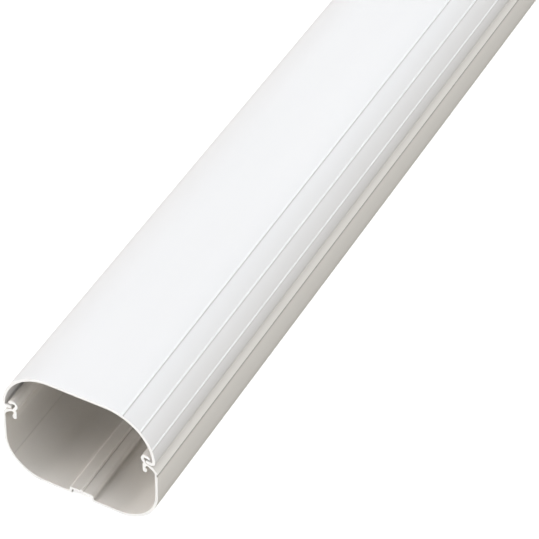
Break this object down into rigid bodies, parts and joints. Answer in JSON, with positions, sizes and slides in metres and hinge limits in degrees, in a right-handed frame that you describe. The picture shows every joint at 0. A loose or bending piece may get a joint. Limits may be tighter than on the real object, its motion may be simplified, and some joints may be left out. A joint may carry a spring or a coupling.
{
  "type": "air conditioner pipe cover",
  "caption": "Straight length of white PVC trunking for air conditioner pipes: a rounded tray that fixes to a wall and a domed cover that snaps on.",
  "frame": {"origin": "centre of the flat underside, halfway along the length", "axes": "+X across the width, towards the shoulder with the beads; +Y along the length, away from the end that the picture shows; +Z from the wall side up to the cover"},
  "size_m": [0.0772, 2, 0.0644],
  "materials": {
    "pvc_base": "satin",
    "pvc_cover": "satin"
  },
  "bodies": {
    "base": {"duct_base": "pvc_base"},
    "cover": {"duct_cover": "pvc_cover"}
  },
  "joints": [
    {"name": "cover_slide", "type": "slide", "parent": "base", "child": "cover", "axis": [0, 1, 0], "range_m": [-2, 2]}
  ]
}
